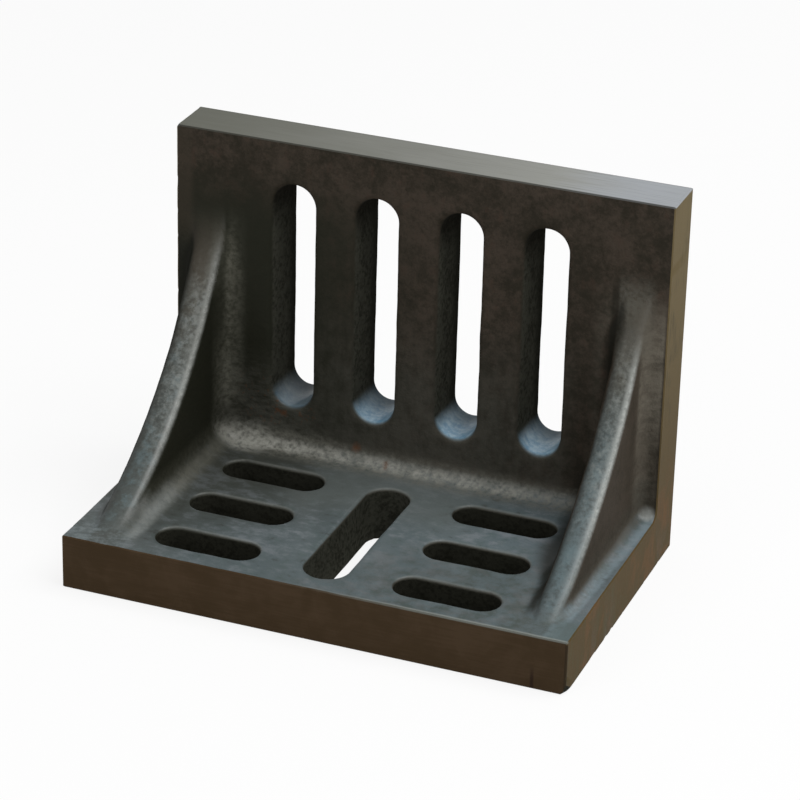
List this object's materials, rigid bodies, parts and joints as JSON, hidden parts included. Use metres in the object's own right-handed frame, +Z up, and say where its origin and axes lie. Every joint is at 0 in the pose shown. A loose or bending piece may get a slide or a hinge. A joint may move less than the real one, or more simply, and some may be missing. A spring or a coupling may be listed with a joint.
{
  "type": "angle plate",
  "caption": "Cast iron angle plate: a slotted base and a slotted upright at right angles, braced by webs with hollow crests, for clamping work square on a machine table.",
  "frame": {"origin": "middle of the underside", "axes": "+X along the length, +Y out of the upright's outer face, +Z up"},
  "size_m": [0.203, 0.127, 0.152],
  "materials": {
    "cast_iron": "as cast and oiled inside, machined and browned outside, ground on the top edge"
  },
  "bodies": {
    "root": {"angle_plate": "cast_iron"}
  },
  "joints": []
}
